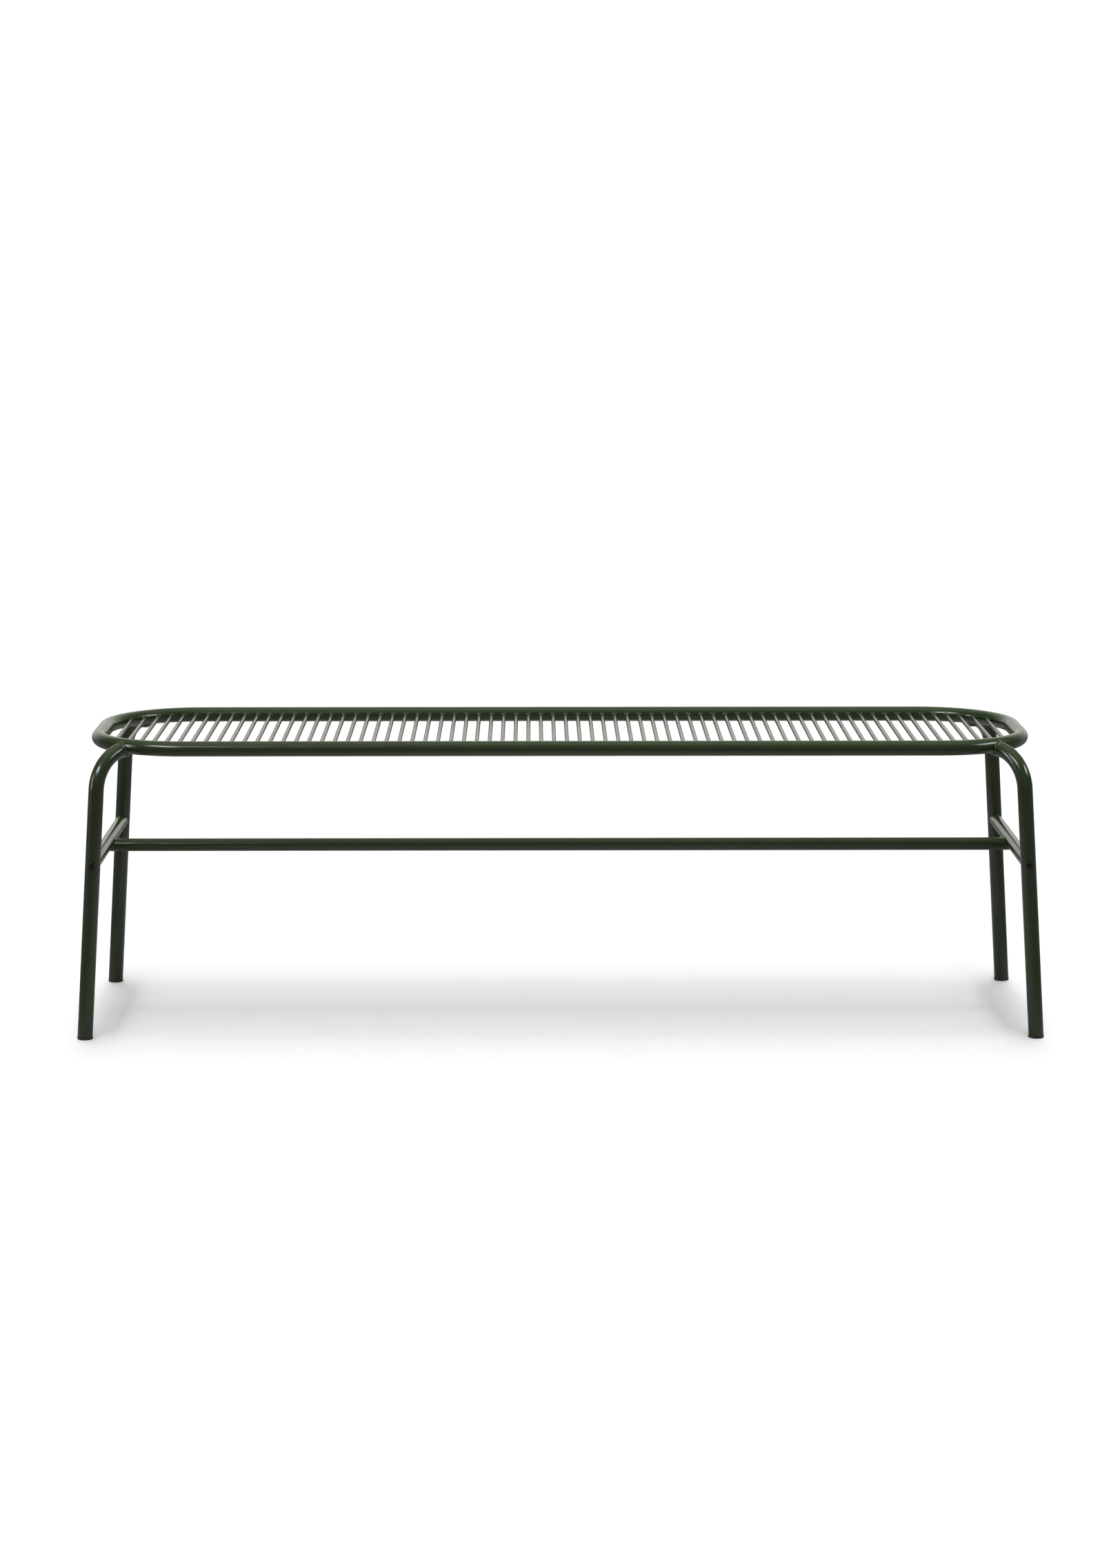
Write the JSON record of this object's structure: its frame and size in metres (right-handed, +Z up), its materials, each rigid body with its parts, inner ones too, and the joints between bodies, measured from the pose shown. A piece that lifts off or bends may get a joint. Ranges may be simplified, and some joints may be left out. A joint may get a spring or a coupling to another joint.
{
  "type": "backless bench",
  "caption": "Backless metal bench: a closed tube ring filled with thin cross rods, on bent tube legs joined by an H brace.",
  "frame": {"origin": "on the floor, under the middle of the seat", "axes": "+X along the bench to the right, +Y to the rear, +Z up"},
  "size_m": [1.399, 0.4124, 0.432],
  "materials": {
    "green_powder_coat": "semi-gloss dark green powder coat on steel tube and rod",
    "glide_plastic": "moulded black, slightly rough",
    "black_screw": "black oxide",
    "plug_steel": "turned, plain"
  },
  "bodies": {
    "root": {"seat_ring": "green_powder_coat", "seat_rod_pair_01": "green_powder_coat", "seat_rod_pair_02": "green_powder_coat", "seat_rod_pair_03": "green_powder_coat", "seat_rod_pair_04": "green_powder_coat", "seat_rod_pair_05": "green_powder_coat", "seat_rod_pair_06": "green_powder_coat", "seat_rod_pair_07": "green_powder_coat", "seat_rod_pair_08": "green_powder_coat", "seat_rod_pair_09": "green_powder_coat", "seat_rod_pair_10": "green_powder_coat", "seat_rod_pair_11": "green_powder_coat", "seat_rod_pair_12": "green_powder_coat", "seat_rod_pair_13": "green_powder_coat", "seat_rod_pair_14": "green_powder_coat", "seat_rod_pair_15": "green_powder_coat", "seat_rod_pair_16": "green_powder_coat", "seat_rod_pair_17": "green_powder_coat", "seat_rod_pair_18": "green_powder_coat", "seat_rod_pair_19": "green_powder_coat", "seat_rod_pair_20": "green_powder_coat", "seat_rod_pair_21": "green_powder_coat", "seat_rod_pair_22": "green_powder_coat", "seat_rod_pair_23": "green_powder_coat", "seat_rod_pair_24": "green_powder_coat", "seat_rod_pair_25": "green_powder_coat", "seat_rod_pair_26": "green_powder_coat", "seat_rod_pair_27": "green_powder_coat", "seat_rod_pair_28": "green_powder_coat", "seat_rod_pair_29": "green_powder_coat", "seat_rod_pair_30": "green_powder_coat", "seat_rod_pair_31": "green_powder_coat", "seat_rod_pair_32": "green_powder_coat", "seat_rod_pair_33": "green_powder_coat", "seat_rod_pair_34": "green_powder_coat", "seat_rod_pair_35": "green_powder_coat", "leg_front_left": "green_powder_coat", "leg_front_right": "green_powder_coat", "leg_rear_left": "green_powder_coat", "leg_rear_right": "green_powder_coat", "end_stretcher_left": "green_powder_coat", "end_stretcher_right": "green_powder_coat", "long_stretcher": "green_powder_coat", "glide_front_left": "glide_plastic", "glide_front_right": "glide_plastic", "glide_rear_left": "glide_plastic", "glide_rear_right": "glide_plastic", "brace_screw_front_left": "black_screw", "brace_screw_front_right": "black_screw", "brace_screw_rear_left": "black_screw", "brace_screw_rear_right": "black_screw", "threaded_plug_front_left": "plug_steel", "threaded_plug_front_right": "plug_steel", "threaded_plug_rear_left": "plug_steel", "threaded_plug_rear_right": "plug_steel"}
  },
  "joints": []
}
